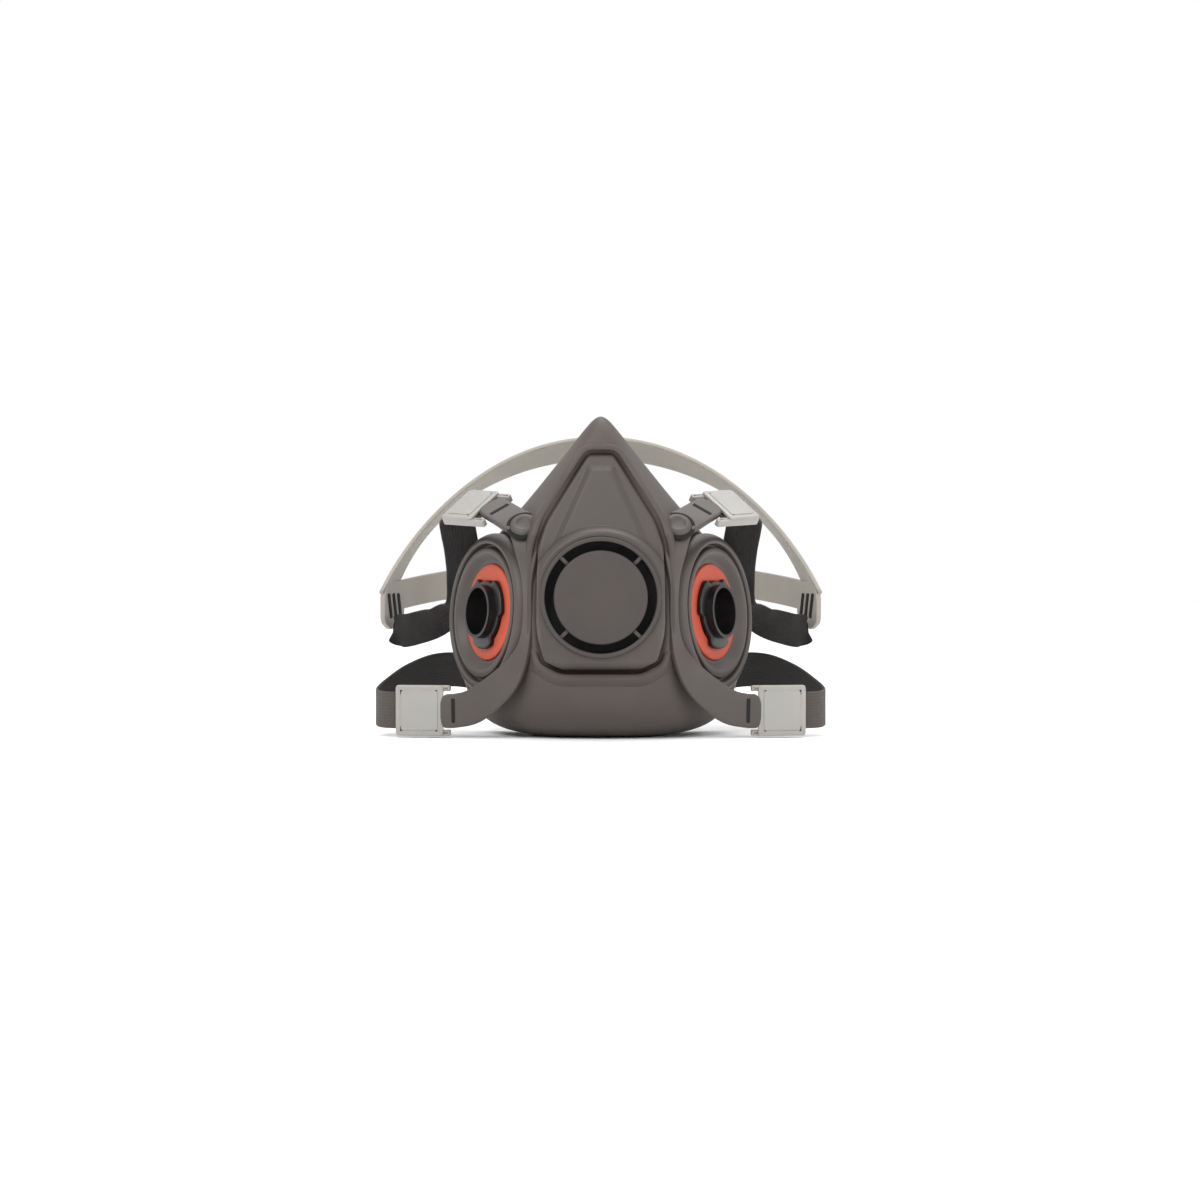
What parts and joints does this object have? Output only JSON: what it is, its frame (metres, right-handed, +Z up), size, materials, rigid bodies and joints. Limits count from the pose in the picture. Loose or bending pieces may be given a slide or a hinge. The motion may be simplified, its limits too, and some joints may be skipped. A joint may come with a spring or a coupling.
{
  "type": "half-face respirator mask",
  "caption": "Reusable half-face painter's respirator shown without filters: soft grey facepiece, round exhalation cover, side inlets with orange gaskets, head cradle and buckled neck straps.",
  "frame": {"origin": "under the middle of the whole object, on the floor that the mask's chin stands on", "axes": "+Z up, the mask faces -Y, -X is the left side seen from the front"},
  "size_m": [0.1896, 0.1979, 0.126],
  "materials": {
    "buckle_plastic": "translucent natural polymer",
    "clip_plastic": "satin moulded",
    "connector_plastic": "black satin moulded",
    "cover_plastic": "fine moulded texture",
    "cradle_plastic": "flexible matte polymer",
    "facepiece_elastomer": "matte moulded elastomer",
    "gasket_rubber": "soft matte",
    "housing_plastic": "fine moulded texture",
    "port_shell_plastic": "satin moulded",
    "strap_elastic": "woven elastic",
    "stud_plastic": "satin moulded",
    "valve_seat_plastic": "moulded",
    "valve_silicone": "soft silicone",
    "yoke_polymer": "flexible matte polymer"
  },
  "bodies": {
    "mask": {"facepiece": "facepiece_elastomer", "front_housing": "housing_plastic", "exhalation_valve_seat": "valve_seat_plastic", "left_port_shell": "port_shell_plastic", "left_bayonet_connector": "connector_plastic", "left_inhalation_gasket": "gasket_rubber", "left_retaining_ring": "connector_plastic", "left_yoke": "yoke_polymer", "left_yoke_stud": "stud_plastic", "right_port_shell": "port_shell_plastic", "right_bayonet_connector": "connector_plastic", "right_inhalation_gasket": "gasket_rubber", "right_retaining_ring": "connector_plastic", "right_yoke": "yoke_polymer", "right_yoke_stud": "stud_plastic"},
    "exhalation_flap": {"exhalation_valve_flap": "valve_silicone"},
    "valve_cover": {"valve_cover": "cover_plastic"},
    "left_inhalation_flap": {"left_inhalation_flap": "valve_silicone"},
    "left_upper_buckle": {"left_upper_buckle": "buckle_plastic"},
    "left_neck_strap": {"left_lower_buckle": "buckle_plastic", "left_lower_strap": "strap_elastic", "neck_hook": "clip_plastic"},
    "right_inhalation_flap": {"right_inhalation_flap": "valve_silicone"},
    "right_upper_buckle": {"right_upper_buckle": "buckle_plastic"},
    "right_neck_strap": {"right_lower_buckle": "buckle_plastic", "right_lower_strap": "strap_elastic", "neck_loop": "clip_plastic"},
    "head_harness": {"head_cradle": "cradle_plastic", "left_cradle_peg": "cradle_plastic", "right_cradle_peg": "cradle_plastic", "left_upper_strap": "strap_elastic", "right_upper_strap": "strap_elastic"}
  },
  "joints": [
    {"name": "exhalation_flap_lift", "type": "slide", "parent": "mask", "child": "exhalation_flap", "axis": [0, -1, 0], "range_m": [0, 0.0015], "stiffness_N_per_m": 20, "springref_m": -0.0005},
    {"name": "valve_cover_pull", "type": "slide", "parent": "mask", "child": "valve_cover", "axis": [0, -1, 0], "range_m": [0, 0.012]},
    {"name": "left_inhalation_flap_lift", "type": "slide", "parent": "mask", "child": "left_inhalation_flap", "axis": [0.8729, 0.4829, -0.07], "range_m": [0, 0.0015], "stiffness_N_per_m": 20, "springref_m": -0.0005},
    {"name": "left_upper_buckle_hinge", "type": "hinge", "parent": "mask", "child": "left_upper_buckle", "pos_m": [-0.042, -0.0655, 0.0903], "axis": [0.5599, 0.6198, 0.5499], "range_deg": [-6, 6]},
    {"name": "left_neck_strap_swing", "type": "hinge", "parent": "mask", "child": "left_neck_strap", "pos_m": [-0.0608, -0.0697, 0.0104], "axis": [0, 0, 1], "range_deg": [0, 35]},
    {"name": "right_inhalation_flap_lift", "type": "slide", "parent": "mask", "child": "right_inhalation_flap", "axis": [-0.8729, 0.4829, -0.07], "range_m": [0, 0.0015], "stiffness_N_per_m": 20, "springref_m": -0.0005},
    {"name": "right_upper_buckle_hinge", "type": "hinge", "parent": "mask", "child": "right_upper_buckle", "pos_m": [0.042, -0.0655, 0.0903], "axis": [0.5599, -0.6198, -0.5499], "range_deg": [-6, 6]},
    {"name": "right_neck_strap_swing", "type": "hinge", "parent": "mask", "child": "right_neck_strap", "pos_m": [0.0608, -0.0697, 0.0104], "axis": [0, 0, -1], "range_deg": [0, 35]},
    {"name": "head_harness_swing", "type": "hinge", "parent": "mask", "child": "head_harness", "pos_m": [0, -0.051, 0.0885], "axis": [1, 0, 0], "range_deg": [0, 45]}
  ]
}
